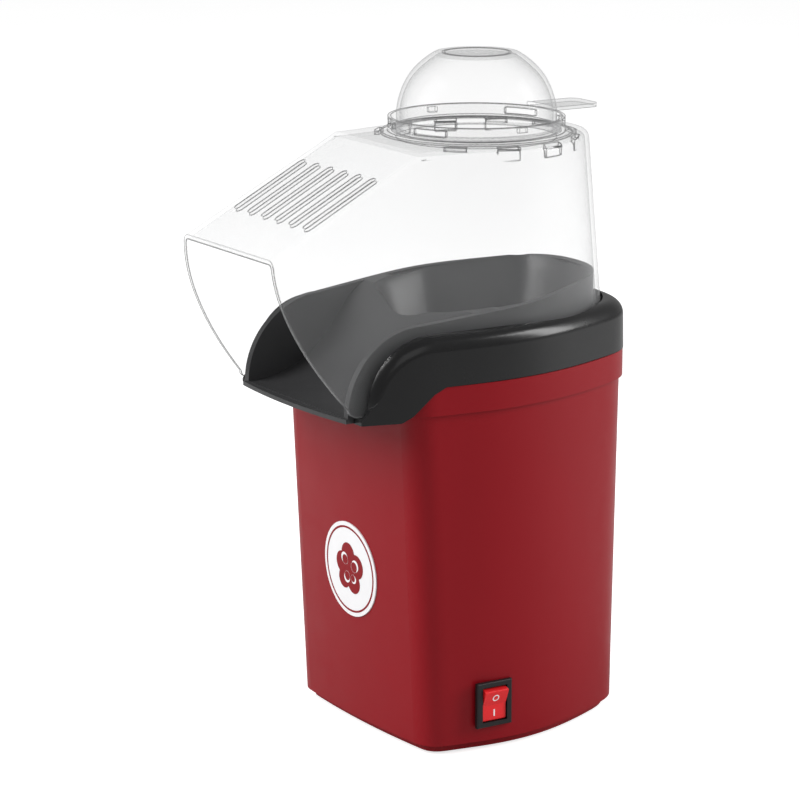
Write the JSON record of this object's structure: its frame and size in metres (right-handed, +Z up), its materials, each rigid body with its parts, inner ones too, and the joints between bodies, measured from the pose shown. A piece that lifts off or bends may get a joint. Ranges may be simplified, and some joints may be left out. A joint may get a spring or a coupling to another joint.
{
  "type": "popcorn maker",
  "caption": "Hot-air popcorn maker: tapered housing, black collar, pouring tray, clear lift-off hood with steam slots, domed measuring cup and side rocker switch.",
  "frame": {"origin": "middle of the footprint box, on the table", "axes": "+Z up; -Y is the front, where the tray and the badge are; +X is the side with the switch"},
  "size_m": [0.1262, 0.1958, 0.305],
  "materials": {
    "red_housing": "deep red moulded plastic, satin gloss",
    "red_base": "deep red moulded plastic, satin gloss",
    "rubber": "matt black rubber",
    "steel": "zinc-plated steel",
    "badge_white": "printed plastic disc",
    "black_gloss": "polished black plastic",
    "graphite_plastic": "dark grey heat-resistant plastic",
    "bare_aluminium": "spun aluminium",
    "zinc_steel": "galvanised sheet",
    "black_plastic": "black moulded plastic",
    "ferrite": "sintered ferrite",
    "copper": "copper windings on laminations",
    "white_nylon": "nylon",
    "mica": "mica card",
    "nichrome": "resistance wire",
    "board_green": "fibreglass board",
    "rocker_red": "bright red rocker",
    "mark_white": "white print",
    "brass": "brass blades",
    "clear_hood": "clear polycarbonate",
    "clear_cup": "clear polycarbonate",
    "lead_black": "insulated lead",
    "lead_red": "insulated lead"
  },
  "bodies": {
    "base": {"housing_shell": "red_housing", "base_plate": "red_base", "rubber_feet": "rubber", "base_screws": "steel", "front_badge": "badge_white", "top_collar": "black_gloss", "chute_funnel": "graphite_plastic", "popping_chamber": "bare_aluminium", "air_duct": "zinc_steel", "fan_housing": "black_plastic", "deck_screws": "steel", "duct_screws": "steel", "motor_screws": "steel", "motor_can": "zinc_steel", "motor_magnets": "ferrite", "motor_end_cap": "black_plastic", "heater_former": "mica", "heater_coil": "nichrome", "thermostat": "steel", "thermal_fuse": "steel", "rectifier_board": "board_green", "rectifier_diodes": "black_plastic", "switch_bezel": "black_plastic", "switch_terminals": "brass", "cord_gland": "black_plastic", "mains_lead": "lead_black", "motor_lead": "lead_black", "heater_lead": "lead_red"},
    "hood": {"hood_cover": "clear_hood"},
    "cup": {"measuring_cup": "clear_cup"},
    "rocker": {"switch_rocker": "rocker_red", "rocker_marks": "mark_white"},
    "fan": {"motor_shaft": "steel", "motor_armature": "copper", "fan_impeller": "white_nylon"}
  },
  "joints": [
    {"name": "hood_lift", "type": "slide", "parent": "base", "child": "hood", "axis": [0, 0, 1], "range_m": [0, 0.08]},
    {"name": "cup_lift", "type": "slide", "parent": "hood", "child": "cup", "axis": [0, 0, 1], "range_m": [0, 0.05]},
    {"name": "rocker_tilt", "type": "hinge", "parent": "base", "child": "rocker", "pos_m": [0.05812, 0.00121, 0.0218], "axis": [0, 1, 0], "range_deg": [-22, 0]},
    {"name": "fan_spin", "type": "hinge", "parent": "base", "child": "fan", "pos_m": [-0.00108, 0.03081, 0.063], "axis": [0, 0, 1], "continuous": true}
  ]
}
